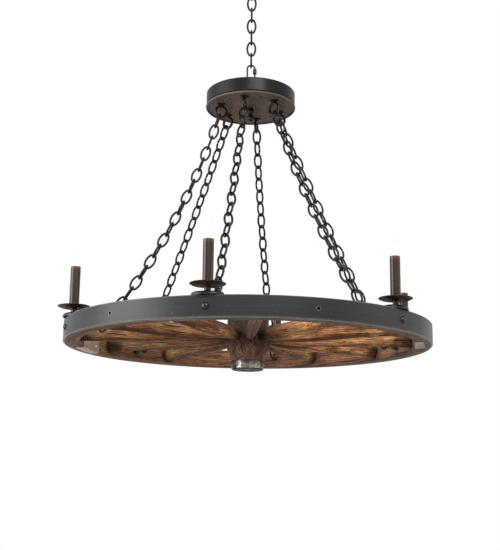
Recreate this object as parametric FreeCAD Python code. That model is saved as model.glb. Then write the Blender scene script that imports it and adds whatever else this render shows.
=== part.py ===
import FreeCAD, Part
import math
import os

from FreeCAD import Matrix, Placement, Rotation, Vector

# Wagon wheel chandelier: a wooden wagon wheel with an iron tyre hangs on six chains from a round pan,
# and the pan hangs on a chain from a ceiling canopy. Millimetres, +Z up, origin on the ceiling in the
# middle of the crossbar's upper face. Azimuth 0 is the direction -Y and grows towards +X.

# ---- driving dimensions ------------------------------------------------------------------------

CONTACT_GAP = 0.3        # between chain links, and between parts that move on each other
THREAD_GAP = 0.05        # radial, between a thread and its nut or tapped hole
HOLE_GAP = 0.2           # radial, between a plain hole and the bolt or tube in it
SEAT_GAP = 0.1           # under a part that rests on another and lifts off
EDGE_BREAK = 1.5         # bevel on the ends of turned metal parts
BOLT_PAST_NUT = 3.0      # thread that shows past a nut
CUT_PAST = 1.0           # how far a cutting shape runs on past the face it cuts

# ceiling end
CROSSBAR_LENGTH = 110.0
CROSSBAR_WIDTH = 20.0
CROSSBAR_THICKNESS = 3.0
CROSSBAR_HOLE_SPACING = 70.0
CROSSBAR_HOLE_R = 2.5
NIPPLE_R = 5.0           # threaded tube of the lamp trade, also the candles' and the pan's
NIPPLE_BORE_R = 3.3
CANOPY_R = 70.0
CANOPY_DEPTH = 36.0
CANOPY_SHEET = 1.5
CANOPY_ROUNDING = 16.0
LOOP_THREAD_R = 16.0     # the threaded body under the crossbar that the collar screws on
LOOP_THREAD_LENGTH = 24.0
LOOP_BELOW_CANOPY = 10.0
LOOP_RING_WIRE = 6.0
LOOP_RING_INNER_R = 9.0
COLLAR_R = 23.0
COLLAR_HEIGHT = 7.0

# chain
CHAIN_WIRE = 6.0
LINK_WIDTH = 30.0        # outside
LINK_INSIDE = 36.6       # inside length
LINK_END_R = 9.0         # bend of its ends, to the wire's middle; the long sides bow out between them
LINK_SEAM = 0.7          # open butt joint in one long side of each link
SUSPENSION_LINKS = 6     # between the canopy loop and the quick link
QUICK_LINK_WIRE = 5.0
QUICK_LINK_WIDTH = 27.0
QUICK_LINK_LENGTH = 56.0
QUICK_LINK_OPENING = 6.5
QUICK_NUT_R = 5.6
QUICK_NUT_LENGTH = 17.0
QUICK_NUT_RAISE = 5.5    # its middle above the middle of the link
QUICK_NUT_GRIP = 3.0     # how far it reaches past the opening when it is closed

# pan
PAN_R = 129.5
PAN_DEPTH = 47.5         # from the top to the lip's lower edge
PAN_SHEET = 1.5
PAN_ROUNDING = 4.0
PAN_BEAD = 6.0           # height of the rolled lip
PAN_BEAD_OUT = 1.6
PLATE_RECESS = 3.0
PLATE_THICKNESS = 2.5
STIFFENER_WIDTH = 32.0
STIFFENER_THICKNESS = 4.0
PAN_LOOP_WIRE = 5.0
PAN_LOOP_INNER_R = 12.0
PAN_LOOP_BASE_R = 11.0
PAN_LOOP_BASE_HEIGHT = 15.6
ROD_NUT_R = 9.0
ROD_NUT_HEIGHT = 6.0
PLATE_SCREW_R = 2.0
PLATE_SCREW_HEAD_R = 4.0
PLATE_SCREW_HEAD = 2.4
FINIAL_BALL_R = 11.5
FINIAL_DROP = 31.2       # ball's centre under the plate
FINIAL_KNOB_R = 11.0     # a second ball over it
FINIAL_KNOB_ABOVE = 20.0
FINIAL_WAIST_R = 6.0
FINIAL_FLANGE_R = 8.0
FINIAL_GRIP = 8.0        # how far the centre rod stands out of the plate

# ring bolts in the plate
CHAIN_COUNT = 6
RING_CIRCLE_R = 90.0
RING_WIRE = 8.0
RING_OUTER_R = 20.5
RING_DROP = 24.2         # ring's centre under the plate
RING_SHOULDER_R = 13.0
RING_SHOULDER = 7.0
RING_NECK_R = 6.0
RING_SHANK_R = 4.0
RING_NUT_R = 7.5
RING_NUT_HEIGHT = 7.0

# the six chains down to the wheel
WHEEL_TURN = -11.2       # degrees, azimuth of the first chain and candle
CHAIN_LINKS = 20
TAUT_SLACK = 0.15        # spare length of the tightest chain
EYE_BACK_OFF = (0.3, 3.5, 0.0, 9.0, 0.0, 8.4)   # how far each eye nut is screwed off its tightest place
CHAIN_TWIST = ((18.0, 44.0, 24.0), (0.0, -14.0, 0.0), (0.0, 12.0, 0.0), (18.0, 42.0, 20.0),
               (0.0, -8.0, 0.0), (0.0, 22.0, 0.0))   # degrees, at the top, middle and foot of each

# wheel
TYRE_R = 508.0
TYRE_THICKNESS = 5.0
RIM_HEIGHT = 53.0
TYRE_EDGE = 1.0
FELLOE_DEPTH = 40.0
FELLOE_EDGE = 2.5
FELLOE_JOINT = 0.6
SPOKE_COUNT = 12
SPOKE_RIM_R = 15.2       # half width at the rim
SPOKE_MID_R = 15.2
SPOKE_UPRIGHT_OVAL = 3.6 # how much its half height is larger there
SPOKE_FOOT = 0.14        # share of its length from the hub, where it is widest
SPOKE_FOOT_HALF_WIDTH = 13.5
SPOKE_FOOT_HALF_HEIGHT = 18.0
SPOKE_HUB_HALF_WIDTH = 10.5
SPOKE_HUB_HALF_HEIGHT = 12.5
SPOKE_TENON_R = 11.0
SPOKE_TENON_DEPTH = 26.0
SPOKE_SADDLE = 8.0       # how far a tenon runs on inside the spoke
HUB_TENON_HALF_WIDTH = 7.0
HUB_TENON_HALF_HEIGHT = 10.0
HUB_TENON_INNER_R = 34.0
HUB_R = 64.0
HUB_HALF_LENGTH = 90.0
HUB_NECK_R = 46.0
HUB_SWELL = 8.0          # half height of the full-width part that takes the spokes
HUB_TURN_R = 55.5        # where the lower side's round shoulder turns into its hollow neck
HUB_TURN_HEIGHT = 38.5
HUB_SHOULDER_BULGE = 1.5 # how far that shoulder stands out from a straight taper
HUB_HOLLOW = 1.2         # how far the neck is turned in from one
HUB_BACK_R = 58.0        # the upper side keeps this width from its shoulder to its band
HUB_BACK_HEIGHT = 34.0   # of that shoulder's end over the middle
HUB_BACK_BULGE = 0.7
HUB_BACK_BAND_R = 57.0
HUB_BAND_R = 45.5
HUB_BAND_THICKNESS = 3.0
HUB_BAND_HEIGHT = 23.0
HUB_BAND_BEVEL = 0.8
HUB_BAND_INSET = 2.0     # wood that shows past the band
HUB_BOLT_R = 6.0
HUB_HEAD_R = 11.0
HUB_HEAD_HEIGHT = 8.0
HUB_COUNTERBORE_R = 15.0 # the bolt's head sits in it, just inside the hub's end
HUB_COUNTERBORE = 9.0
CLIP_ARC = 15.0          # degrees
CLIP_THICKNESS = 2.0
CLIP_RETURN = 24.0       # how far it reaches under and over the felloe
CLIP_SCREW_R = 2.0
CLIP_SCREW_HEAD_R = 4.5
CLIP_SCREW_HEAD = 2.2
CLIP_SCREW_DEPTH = 16.0
CLIP_SCREW_ARC = 5.2     # degrees from the joint
CLIP_SCREW_Z = 12.0
BOLT_R = 4.0
BOLT_HEAD_R = 9.0
BOLT_HEAD_HEIGHT = 6.0
BOLT_END_INSIDE = 14.4   # how far the bolt stands out of the felloe's inner face
NAIL_HOLE_R = 4.6        # spare holes in the tyre, midway between the bolts
EYE_BARREL_R = 8.0
EYE_BARREL_LENGTH = 16.0
EYE_BARREL_BORE = 14.8
EYE_NECK = 1.0
EYE_NECK_R = 3.5
EYE_WIRE = 5.0
EYE_RING_R = 10.5        # to the wire's middle

# candles
CANDLE_SET_IN = 20.0     # their circle inside the tyre's outer face
BASE_HALF_WIDTH = 40.0   # along the rim
BASE_HALF_DEPTH = 28.5   # across the rim
BASE_HEIGHT = 9.0
BASE_ROUNDING = 6.3
BASE_WALL = 2.5
STEM_R = 8.2
STEM_LENGTH = 15.0
STEM_FOOT_R = 11.0
STEM_FOOT_EDGE = 1.5     # height of the foot's upright edge
STEM_FOOT_HEIGHT = 4.0
STEM_COLLAR_R = 9.2
STEM_COLLAR_EDGE = 1.0
STEM_COLLAR_HEIGHT = 2.0
BOBECHE_R = 43.5
BOBECHE_FLOOR_R = 27.0
BOBECHE_RISE = 5.0
BOBECHE_SHEET = 1.4
SLEEVE_R = 13.2
SLEEVE_WALL = 1.3
SLEEVE_LENGTH = 111.0
SOCKET_R = 9.8
SOCKET_LENGTH = 38.0
SOCKET_BEVEL = 1.0
SOCKET_BELOW_TOP = 12.0  # its mouth under the sleeve's top
SOCKET_BORE_R = 6.4
SOCKET_BORE_DEPTH = 24.0
NIPPLE_IN_FELLOE = 18.0
NIPPLE_IN_SOCKET = 8.0
BULB_BASE_R = 5.9
BULB_BASE_LENGTH = 20.0
BULB_BASE_BEVEL = 1.0
BULB_CONTACT_R = 3.0
BULB_CONTACT = 3.0
BULB_GLASS_R = 10.6
BULB_NECK_R = 5.6
BULB_TIP_ABOVE = 60.0    # above the sleeve's top

# ---- places worked out from them ---------------------------------------------------------------

PITCH = LINK_INSIDE - CONTACT_GAP
AZIMUTHS = [WHEEL_TURN + 360.0 / CHAIN_COUNT * i for i in range(CHAIN_COUNT)]
HALF_STEP = 180.0 / CHAIN_COUNT
SPOKE_TURN = WHEEL_TURN + 180.0 / SPOKE_COUNT

canopy_bottom = -CANOPY_DEPTH
loop_body_bottom = canopy_bottom - LOOP_BELOW_CANOPY
loop_ring_outer_r = LOOP_RING_INNER_R + LOOP_RING_WIRE
loop_ring_z = loop_body_bottom + LOOP_RING_WIRE / 3 - loop_ring_outer_r
first_link_z = loop_ring_z - LOOP_RING_INNER_R + CONTACT_GAP - LINK_INSIDE / 2
last_link_z = first_link_z - (SUSPENSION_LINKS - 1) * PITCH
quick_inside = QUICK_LINK_LENGTH - 2 * QUICK_LINK_WIRE
quick_link_z = last_link_z - LINK_INSIDE / 2 + CONTACT_GAP - quick_inside / 2
pan_ring_z = quick_link_z - quick_inside / 2 + CONTACT_GAP - PAN_LOOP_INNER_R
pan_ring_outer_r = PAN_LOOP_INNER_R + PAN_LOOP_WIRE
pan_base_top = pan_ring_z - pan_ring_outer_r + PAN_LOOP_WIRE / 2
pan_top = pan_base_top - PAN_LOOP_BASE_HEIGHT
pan_bottom = pan_top - PAN_DEPTH
plate_under = pan_bottom + PLATE_RECESS
plate_top = plate_under + PLATE_THICKNESS
stiffener_top = plate_top + STIFFENER_THICKNESS
ring_z = plate_under - RING_DROP
ring_inner_r = RING_OUTER_R - RING_WIRE

felloe_outer_r = TYRE_R - TYRE_THICKNESS
felloe_inner_r = felloe_outer_r - FELLOE_DEPTH
candle_circle_r = TYRE_R - CANDLE_SET_IN
tight_barrel_r = felloe_inner_r - CONTACT_GAP - EYE_BARREL_LENGTH
eye_offset = EYE_NECK + EYE_WIRE / 2 + 2 * EYE_RING_R


def eye_wire_r(back_off):
    """Radius from the wheel's axis to the innermost wire of an eye."""
    return tight_barrel_r - back_off - eye_offset


# The tightest chain sets how far the wheel hangs under the ring bolts.
chain_reach = CHAIN_LINKS * PITCH - TAUT_SLACK
reach_ends = ring_inner_r - EYE_WIRE / 2 - CONTACT_GAP
reach_out = eye_wire_r(min(EYE_BACK_OFF)) - RING_CIRCLE_R
wheel_z = ring_z - math.sqrt((chain_reach + reach_ends) ** 2 - reach_out ** 2)
rim_top = wheel_z + RIM_HEIGHT / 2
base_top = rim_top + BASE_HEIGHT
stem_top = base_top + STEM_LENGTH
bobeche_floor = stem_top + BOBECHE_SHEET
sleeve_bottom = bobeche_floor + SEAT_GAP
sleeve_top = sleeve_bottom + SLEEVE_LENGTH
socket_top = sleeve_top - SOCKET_BELOW_TOP
socket_bottom = socket_top - SOCKET_LENGTH
bulb_seat = socket_top - SOCKET_BORE_DEPTH + CONTACT_GAP


# ---- helpers -----------------------------------------------------------------------------------

def cylinder(radius, height, base=Vector(0, 0, 0), axis=Vector(0, 0, 1)):
    return Part.makeCylinder(radius, height, base, axis)


def radial(azimuth):
    """Unit vector from the axis outwards at an azimuth."""
    a = math.radians(azimuth)
    return Vector(math.sin(a), -math.cos(a), 0)


def tangent(azimuth):
    a = math.radians(azimuth)
    return Vector(math.cos(a), math.sin(a), 0)


def at(radius, azimuth, z=0.0):
    return radial(azimuth) * radius + Vector(0, 0, z)


def turned(shape, degrees, z=0.0):
    """A copy of a shape that was made at azimuth 0, turned about the axis and raised."""
    copy = shape.copy()
    turn = Placement(Vector(0, 0, z), Rotation(Vector(0, 0, 1), degrees))
    copy.Placement = turn.multiply(copy.Placement)
    return copy


def framed(shape, x_axis, y_axis, z_axis, origin):
    """A copy of a shape with its own axes laid along three unit vectors at a point."""
    m = Matrix(x_axis.x, y_axis.x, z_axis.x, origin.x,
               x_axis.y, y_axis.y, z_axis.y, origin.y,
               x_axis.z, y_axis.z, z_axis.z, origin.z,
               0, 0, 0, 1)
    copy = shape.copy()
    copy.Placement = Placement(m)
    return copy


def revolved(points, angle=360.0):
    """A solid of revolution about Z from (radius, z) points. A point with a third value is the middle
    of an arc between its neighbours."""
    edges = []
    previous = None
    middle = None
    for p in list(points) + [points[0]]:
        here = Vector(p[0], 0, p[1])
        if len(p) == 3:
            middle = here
            continue
        if previous is not None:
            if middle is not None:
                edges.append(Part.Arc(previous, middle, here).toShape())
            elif (here - previous).Length > 1e-6:
                edges.append(Part.LineSegment(previous, here).toShape())
        previous = here
        middle = None
    face = Part.Face(Part.Wire(edges))
    return face.revolve(Vector(0, 0, 0), Vector(0, 0, 1), angle)


def corner(cx, cz, radius, degrees):
    """The middle point of a rounded corner, for revolved()."""
    a = math.radians(degrees)
    return (cx + radius * math.cos(a), cz + radius * math.sin(a), "arc")


def bowed(r1, z1, r2, z2, out):
    """The middle point of an arc that stands out from the straight line between two points."""
    return ((r1 + r2) / 2 + out, (z1 + z2) / 2, "arc")


def union(shapes):
    result = shapes[0].fuse(shapes[1:]) if len(shapes) > 1 else shapes[0]
    return result.removeSplitter()


def hexagon(across_flats, height, base_z):
    r = across_flats / math.sqrt(3)
    points = [Vector(r * math.cos(math.radians(60 * i)), r * math.sin(math.radians(60 * i)), base_z)
              for i in range(7)]
    return Part.Face(Part.makePolygon(points)).extrude(Vector(0, 0, height))


def hoop(mean_r, wire, centre, axis):
    return Part.makeTorus(mean_r, wire / 2, centre, axis)


def oval_link():
    """A chain link in the XZ plane, long way along Z, centre at the origin: two end bends joined by two
    flatter ones, with an open seam in its +X side."""
    half_length = (LINK_INSIDE + CHAIN_WIRE) / 2
    half_width = (LINK_WIDTH - CHAIN_WIRE) / 2
    end_r = LINK_END_R
    end_z = half_length - end_r
    # The side bend meets both end bends square to the same line through the two centres.
    side_r = (half_width ** 2 + end_z ** 2 - end_r ** 2) / (2 * (half_width - end_r))
    side_x = side_r - half_width
    y_axis = Vector(0, 1, 0)
    side = math.degrees(math.asin(end_z / (side_r - end_r)))
    end = 2 * (90.0 - side)
    pieces = []
    for turn in (0.0, 180.0):
        flank = Part.makeTorus(side_r, CHAIN_WIRE / 2, Vector(0, 0, 0), Vector(0, 0, 1), 0, 360, 2 * side)
        flank.rotate(Vector(0, 0, 0), Vector(0, 0, 1), -side)
        flank.rotate(Vector(0, 0, 0), Vector(1, 0, 0), 90)
        flank.translate(Vector(-side_x, 0, 0))
        bend = Part.makeTorus(end_r, CHAIN_WIRE / 2, Vector(0, 0, 0), Vector(0, 0, 1), 0, 360, end)
        bend.rotate(Vector(0, 0, 0), Vector(0, 0, 1), 90.0 - end / 2)
        bend.rotate(Vector(0, 0, 0), Vector(1, 0, 0), 90)
        bend.translate(Vector(0, 0, end_z))
        for piece in (flank, bend):
            piece.rotate(Vector(0, 0, 0), y_axis, turn)
            pieces.append(piece)
    slot = Part.makeBox(2 * CHAIN_WIRE, 2 * CHAIN_WIRE, LINK_SEAM,
                        Vector(half_width - CHAIN_WIRE, -CHAIN_WIRE, -LINK_SEAM / 2))
    return union(pieces).cut(slot)


def straight_link(wire, width, inside, opening, opening_z):
    """A link with straight sides in the XZ plane, centre at the origin, open in its +X side."""
    arc_r = (width - wire) / 2
    half = (inside + wire) / 2 - arc_r
    y_axis = Vector(0, 1, 0)
    keep_up = Part.makeBox(2 * width, 2 * wire, width, Vector(-width, -wire, half))
    keep_down = Part.makeBox(2 * width, 2 * wire, width, Vector(-width, -wire, -half - width))
    top = hoop(arc_r, wire, Vector(0, 0, half), y_axis).common(keep_up)
    bottom = hoop(arc_r, wire, Vector(0, 0, -half), y_axis).common(keep_down)
    legs = [cylinder(wire / 2, 2 * half, Vector(side * arc_r, 0, -half)) for side in (-1, 1)]
    gap = Part.makeBox(2 * wire, 2 * wire, opening, Vector(arc_r - wire, -wire, opening_z - opening / 2))
    return union([top, bottom] + legs).cut(gap)


def save(name, solids):
    """Writes one node: a single solid, or a group of separate ones."""
    if not isinstance(solids, list):
        solids = [solids]
    parts = [s for shape in solids for s in shape.Solids]
    shape = parts[0] if len(parts) == 1 else Part.makeCompound(parts)
    shape.exportStep("parts/" + name + ".step")


# ---- ceiling end -------------------------------------------------------------------------------

def make_crossbar():
    bar = Part.makeBox(CROSSBAR_LENGTH, CROSSBAR_WIDTH, CROSSBAR_THICKNESS,
                       Vector(-CROSSBAR_LENGTH / 2, -CROSSBAR_WIDTH / 2, -CROSSBAR_THICKNESS))
    uprights = [e for e in bar.Edges if abs(e.tangentAt(0).z) > 0.9]
    bar = bar.makeFillet(CROSSBAR_WIDTH / 4, uprights)
    holes = [cylinder(CROSSBAR_HOLE_R, 3 * CROSSBAR_THICKNESS,
                      Vector(side * CROSSBAR_HOLE_SPACING / 2, 0, -2 * CROSSBAR_THICKNESS))
             for side in (-1, 1)]
    centre = cylinder(NIPPLE_R + THREAD_GAP, 3 * CROSSBAR_THICKNESS,
                      Vector(0, 0, -2 * CROSSBAR_THICKNESS))
    return bar.cut(holes + [centre])


loop_body_top = loop_body_bottom + LOOP_THREAD_LENGTH
nipple_in_loop = LOOP_THREAD_LENGTH / 2


def make_hanger_nipple():
    bottom = loop_body_top - nipple_in_loop
    tube = cylinder(NIPPLE_R, -bottom, Vector(0, 0, bottom))
    return tube.cut(cylinder(NIPPLE_BORE_R, -bottom, Vector(0, 0, bottom)))


def make_canopy_loop():
    body = cylinder(LOOP_THREAD_R, LOOP_THREAD_LENGTH, Vector(0, 0, loop_body_bottom))
    body = body.makeChamfer(EDGE_BREAK, [e for e in body.Edges if e.BoundBox.ZLength < 0.01])
    ring = hoop(LOOP_RING_INNER_R + LOOP_RING_WIRE / 2, LOOP_RING_WIRE,
                Vector(0, 0, loop_ring_z), Vector(1, 0, 0))
    loop = union([body, ring])
    socket_low = loop_body_top - nipple_in_loop
    socket = cylinder(NIPPLE_R + THREAD_GAP, nipple_in_loop + CUT_PAST, Vector(0, 0, socket_low))
    wireway_low = loop_body_bottom + LOOP_RING_WIRE
    wireway = cylinder(NIPPLE_BORE_R, LOOP_THREAD_LENGTH, Vector(0, 0, wireway_low))
    return loop.cut([socket, wireway])


def make_collar_ring():
    top = canopy_bottom - CONTACT_GAP
    bevel = COLLAR_HEIGHT / 3
    inner = LOOP_THREAD_R + THREAD_GAP
    return revolved([(inner, top), (COLLAR_R, top), (COLLAR_R, top - COLLAR_HEIGHT + bevel),
                     (COLLAR_R - bevel, top - COLLAR_HEIGHT), (inner, top - COLLAR_HEIGHT)])


def make_canopy():
    r = CANOPY_ROUNDING
    t = CANOPY_SHEET
    low = canopy_bottom
    hole = LOOP_THREAD_R + 2 * HOLE_GAP
    centre_r = CANOPY_R - r
    return revolved([(hole, low), (centre_r, low), corner(centre_r, low + r, r, -45), (CANOPY_R, low + r),
                     (CANOPY_R, 0), (CANOPY_R - t, 0), (CANOPY_R - t, low + r),
                     corner(centre_r, low + r, r - t, -45), (centre_r, low + t), (hole, low + t)])


# ---- suspension chain --------------------------------------------------------------------------

def make_suspension_links():
    """Top link flat to the front, then each one turned a quarter against the one above."""
    face_on = oval_link()
    links = []
    for i in range(SUSPENSION_LINKS):
        links.append(turned(face_on, 90.0 * (i % 2), first_link_z - i * PITCH))
    return links


quick_leg_x = (QUICK_LINK_WIDTH - QUICK_LINK_WIRE) / 2
quick_nut_z = quick_link_z + QUICK_NUT_RAISE
quick_opening_top = QUICK_NUT_RAISE + QUICK_NUT_LENGTH / 2 - QUICK_NUT_GRIP


def make_quick_link():
    link = straight_link(QUICK_LINK_WIRE, QUICK_LINK_WIDTH, quick_inside, QUICK_LINK_OPENING,
                         quick_opening_top - QUICK_LINK_OPENING / 2)
    link.translate(Vector(0, 0, quick_link_z))
    return link


def make_quick_link_nut():
    half = QUICK_NUT_LENGTH / 2
    bore = QUICK_LINK_WIRE / 2 + THREAD_GAP
    end_r = QUICK_NUT_R - EDGE_BREAK
    nut = revolved([(bore, -half), (end_r, -half), (QUICK_NUT_R, -half + EDGE_BREAK),
                    (QUICK_NUT_R, half - EDGE_BREAK), (end_r, half), (bore, half)])
    nut.translate(Vector(quick_leg_x, 0, quick_nut_z))
    return nut


# ---- pan ---------------------------------------------------------------------------------------

rod_r = NIPPLE_R
rod_top = pan_base_top - PAN_LOOP_BASE_HEIGHT / 3


def make_pan_loop():
    base = cylinder(PAN_LOOP_BASE_R, PAN_LOOP_BASE_HEIGHT, Vector(0, 0, pan_top))
    base = base.makeChamfer(EDGE_BREAK, [e for e in base.Edges if e.BoundBox.ZMin > pan_base_top - 0.01])
    ring = hoop(PAN_LOOP_INNER_R + PAN_LOOP_WIRE / 2, PAN_LOOP_WIRE,
                Vector(0, 0, pan_ring_z), Vector(1, 0, 0))
    socket = cylinder(rod_r + THREAD_GAP, rod_top - pan_top, Vector(0, 0, pan_top))
    return union([base, ring]).cut(socket)


def make_pan_shell():
    r = PAN_ROUNDING
    t = PAN_SHEET
    out = PAN_R + PAN_BEAD_OUT
    bead_z = pan_bottom + PAN_BEAD / 2
    hole = rod_r + HOLE_GAP
    return revolved([(hole, pan_top), (PAN_R - r, pan_top), corner(PAN_R - r, pan_top - r, r, 45),
                     (PAN_R, pan_top - r), (PAN_R, pan_bottom + PAN_BEAD), (out, bead_z, "arc"),
                     (PAN_R, pan_bottom), (PAN_R - t, pan_bottom), (PAN_R - t, pan_top - r),
                     corner(PAN_R - r, pan_top - r, r - t, 45), (PAN_R - r, pan_top - t),
                     (hole, pan_top - t)])


def ring_holes(radius, z, height, offset=0.0):
    """Upright cylinders on the ring circle, at the chains' azimuths or between them."""
    return [cylinder(radius, height, at(RING_CIRCLE_R, a + offset, z)) for a in AZIMUTHS]


def make_pan_plate():
    plate = cylinder(PAN_R - PAN_SHEET - HOLE_GAP, PLATE_THICKNESS, Vector(0, 0, plate_under))
    low = plate_under - CUT_PAST
    height = PLATE_THICKNESS + 2 * CUT_PAST
    holes = ring_holes(RING_SHANK_R + HOLE_GAP, low, height)
    screws = ring_holes(PLATE_SCREW_R + HOLE_GAP, low, height, HALF_STEP)
    centre = cylinder(rod_r + HOLE_GAP, height, Vector(0, 0, low))
    return plate.cut(holes + screws + [centre])


def make_stiffening_ring():
    outer = RING_CIRCLE_R + STIFFENER_WIDTH / 2
    inner = RING_CIRCLE_R - STIFFENER_WIDTH / 2
    ring = revolved([(inner, plate_top), (outer, plate_top),
                     (outer, stiffener_top), (inner, stiffener_top)])
    low = plate_top - CUT_PAST
    height = STIFFENER_THICKNESS + 2 * CUT_PAST
    holes = ring_holes(RING_SHANK_R + HOLE_GAP, low, height)
    taps = ring_holes(PLATE_SCREW_R + THREAD_GAP, low, height, HALF_STEP)
    return ring.cut(holes + taps)


def make_plate_screws():
    length = PLATE_THICKNESS + STIFFENER_THICKNESS
    head = PLATE_SCREW_HEAD
    r = PLATE_SCREW_HEAD_R
    screw = revolved([(0, -head), (r * 0.6, -head * 0.92, "arc"), (r, 0), (PLATE_SCREW_R, 0),
                      (PLATE_SCREW_R, length), (0, length)])
    return [turned_to(screw, a + HALF_STEP, RING_CIRCLE_R, plate_under) for a in AZIMUTHS]


def turned_to(shape, azimuth, radius, z):
    """A copy of a shape made round the Z axis, stood on a circle with its own -Y side outwards."""
    up = Vector(0, 0, 1)
    return framed(shape, tangent(azimuth), radial(azimuth) * -1, up, at(radius, azimuth, z))


rod_bottom = plate_under - FINIAL_GRIP


def make_centre_rod():
    length = rod_top - rod_bottom
    tube = cylinder(rod_r, length, Vector(0, 0, rod_bottom))
    return tube.cut(cylinder(NIPPLE_BORE_R, length, Vector(0, 0, rod_bottom)))


def make_rod_nut():
    z = pan_top - PAN_SHEET - ROD_NUT_HEIGHT
    nut = hexagon(2 * ROD_NUT_R, ROD_NUT_HEIGHT, z)
    return nut.cut(cylinder(rod_r + THREAD_GAP, ROD_NUT_HEIGHT, Vector(0, 0, z)))


def make_finial():
    """A short neck against the plate and two balls, with a tapped hole for the centre rod."""
    ball_z = plate_under - FINIAL_DROP
    knob_z = ball_z + FINIAL_KNOB_ABOVE
    ball_rise = math.sqrt(FINIAL_BALL_R ** 2 - FINIAL_WAIST_R ** 2)
    knob_fall = math.sqrt(FINIAL_KNOB_R ** 2 - FINIAL_WAIST_R ** 2)
    knob_rise = math.sqrt(FINIAL_KNOB_R ** 2 - FINIAL_FLANGE_R ** 2)
    top = plate_under - CONTACT_GAP
    body = revolved([(0, top), (FINIAL_FLANGE_R, top), (FINIAL_FLANGE_R, knob_z + knob_rise),
                     (FINIAL_KNOB_R, knob_z, "arc"), (FINIAL_WAIST_R, knob_z - knob_fall),
                     (FINIAL_WAIST_R, ball_z + ball_rise), (FINIAL_BALL_R, ball_z, "arc"),
                     (0, ball_z - FINIAL_BALL_R)])
    return body.cut(cylinder(rod_r + THREAD_GAP, 2 * FINIAL_GRIP, Vector(0, 0, rod_bottom - CONTACT_GAP)))


def make_ring_bolts():
    """Shoulder eye bolts: a hoop in the upright radial plane, a shoulder under the plate and a shank."""
    shank_top = stiffener_top + RING_NUT_HEIGHT + BOLT_PAST_NUT
    hoop_r = RING_OUTER_R - RING_WIRE / 2
    eye = hoop(hoop_r, RING_WIRE, Vector(0, 0, ring_z), Vector(1, 0, 0))
    shoulder = revolved([(0, plate_under), (RING_SHOULDER_R, plate_under),
                         (RING_SHOULDER_R, plate_under - RING_SHOULDER / 2),
                         (RING_NECK_R, plate_under - RING_SHOULDER), (RING_NECK_R, ring_z + hoop_r),
                         (0, ring_z + hoop_r)])
    shank = cylinder(RING_SHANK_R, shank_top - plate_under, Vector(0, 0, plate_under))
    bolt = union([eye, shoulder, shank])
    return [turned_to(bolt, a, RING_CIRCLE_R, 0) for a in AZIMUTHS]


def make_ring_nuts():
    nut = hexagon(2 * RING_NUT_R, RING_NUT_HEIGHT, stiffener_top)
    nut = nut.cut(cylinder(RING_SHANK_R + THREAD_GAP, RING_NUT_HEIGHT, Vector(0, 0, stiffener_top)))
    return [turned_to(nut, a, RING_CIRCLE_R, 0) for a in AZIMUTHS]


# ---- chains to the wheel -----------------------------------------------------------------------

def chain_pivots(back_off):
    """Points (radius, z) where the links of one chain touch, from the ring bolt to the eye: equal steps
    on the arc that lets the chain's spare length hang."""
    eye_r = eye_wire_r(back_off)
    span = math.hypot(eye_r - RING_CIRCLE_R, wheel_z - ring_z)
    ur = (eye_r - RING_CIRCLE_R) / span
    uz = (wheel_z - ring_z) / span
    start = ring_inner_r - CONTACT_GAP / 2
    end = EYE_WIRE / 2 + CONTACT_GAP / 2
    distance = span - start + end
    low = 1e-6
    high = math.pi / CHAIN_LINKS
    for _ in range(60):
        bend = (low + high) / 2
        reach = PITCH * math.sin(CHAIN_LINKS * bend / 2) / math.sin(bend / 2)
        if reach > distance:
            low = bend
        else:
            high = bend
    r = RING_CIRCLE_R + ur * start
    z = ring_z + uz * start
    points = [(r, z)]
    for i in range(CHAIN_LINKS):
        turn = bend * (i - (CHAIN_LINKS - 1) / 2)
        r += PITCH * (ur * math.cos(turn) - uz * math.sin(turn))
        z += PITCH * (uz * math.cos(turn) + ur * math.sin(turn))
        points.append((r, z))
    return points


def make_chain(index):
    """One chain in the upright plane through the axis. Links lie across that plane and in it by turns,
    and a slow twist turns them further."""
    azimuth = AZIMUTHS[index]
    link = oval_link()
    points = chain_pivots(EYE_BACK_OFF[index])
    links = []
    twist_top, twist_middle, twist_foot = CHAIN_TWIST[index]
    for i in range(CHAIN_LINKS):
        top = at(points[i][0], azimuth, points[i][1])
        low = at(points[i + 1][0], azimuth, points[i + 1][1])
        along = (top - low).normalize()
        across = tangent(azimuth)
        flat = across.cross(along)
        share = i / (CHAIN_LINKS - 1)
        twist = (twist_top * (1 - share) * (1 - 2 * share) + twist_middle * 4 * share * (1 - share)
                 + twist_foot * share * (2 * share - 1))
        a = math.radians(twist + 90.0 * (i % 2))
        x_axis = across * math.cos(a) + flat * math.sin(a)
        y_axis = along.cross(x_axis)
        links.append(framed(link, x_axis, y_axis, along, (top + low) * 0.5))
    return links


# ---- wheel -------------------------------------------------------------------------------------

def make_through_bolts():
    """Domed heads outside the tyre, shanks through tyre and felloe into the eye nuts."""
    length = TYRE_R - felloe_inner_r + BOLT_END_INSIDE
    bolt = revolved([(0, BOLT_HEAD_HEIGHT), (BOLT_HEAD_R * 0.72, BOLT_HEAD_HEIGHT * 0.72, "arc"),
                     (BOLT_HEAD_R, 0), (BOLT_R, 0), (BOLT_R, -length), (0, -length)])
    up = Vector(0, 0, 1)
    return [framed(bolt, tangent(a), up, radial(a), at(TYRE_R, a, wheel_z)) for a in AZIMUTHS]


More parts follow.
